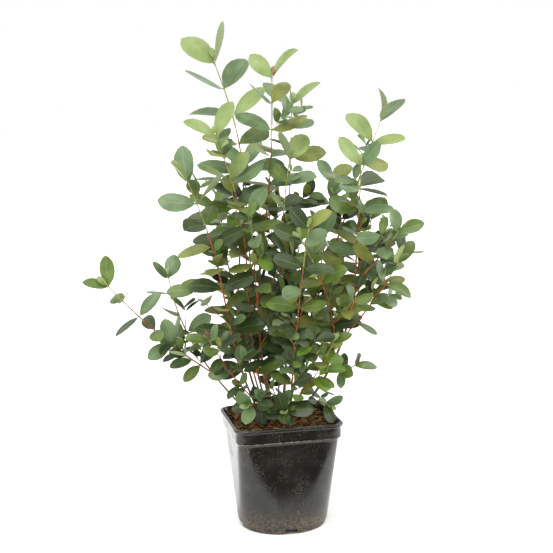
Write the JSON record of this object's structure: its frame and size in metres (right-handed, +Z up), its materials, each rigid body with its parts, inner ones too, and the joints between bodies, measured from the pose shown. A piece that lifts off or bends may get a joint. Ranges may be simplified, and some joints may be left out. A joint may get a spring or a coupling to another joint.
{
  "type": "potted feijoa shrub",
  "caption": "Young many-stemmed evergreen shrub with oval grey-green leaves in pairs on red-brown stems, rooted in bark compost in a square-to-round black nursery pot.",
  "frame": {"origin": "centre of the flat underside of the pot", "axes": "+Z up; the pot's flat sides face along X and Y, and the pictured front is towards -Y, seen from 11 degrees to its left"},
  "size_m": [0.6048, 0.3959, 0.8746],
  "materials": {
    "pot_plastic": "injection-moulded black polypropylene, glossy with dust and fine scratches",
    "bark_compost": "loose bark chips and peat, matt, with a little moss",
    "bark": "thin grey-brown to rust-red bark, satin, green at the shoot tips",
    "foliage": "leathery leaves, satin dark green above and matt silvery green below"
  },
  "bodies": {
    "root": {"pot": "pot_plastic", "soil": "bark_compost", "stem_tall_left": "bark", "stem_centre": "bark", "stem_right": "bark", "stem_left": "bark", "stem_second_left": "bark", "stem_centre_back": "bark", "stem_centre_front": "bark", "stem_right_thick": "bark", "stem_left_back": "bark", "stem_front": "bark", "stem_spray_left": "bark", "stem_back_left": "bark", "stem_back_right": "bark", "stem_back": "bark", "foliage_tall_left": "foliage", "foliage_centre": "foliage", "foliage_right": "foliage", "foliage_left": "foliage", "foliage_second_left": "foliage", "foliage_centre_back": "foliage", "foliage_centre_front": "foliage", "foliage_right_thick": "foliage", "foliage_left_back": "foliage", "foliage_front": "foliage", "foliage_spray_left": "foliage", "foliage_back_left": "foliage", "foliage_back_right": "foliage", "foliage_back": "foliage", "foliage_centre_side": "foliage", "foliage_left_low_side": "foliage", "foliage_right_inner": "foliage", "foliage_right_behind": "foliage", "foliage_right_outer": "foliage", "foliage_right_upper": "foliage", "foliage_right_spray": "foliage", "foliage_right_far": "foliage", "foliage_right_low": "foliage", "foliage_fresh_front": "foliage", "foliage_spray_far_left": "foliage", "foliage_low_front": "foliage", "foliage_low_left": "foliage", "foliage_low_right": "foliage", "foliage_low_back": "foliage"}
  },
  "joints": []
}
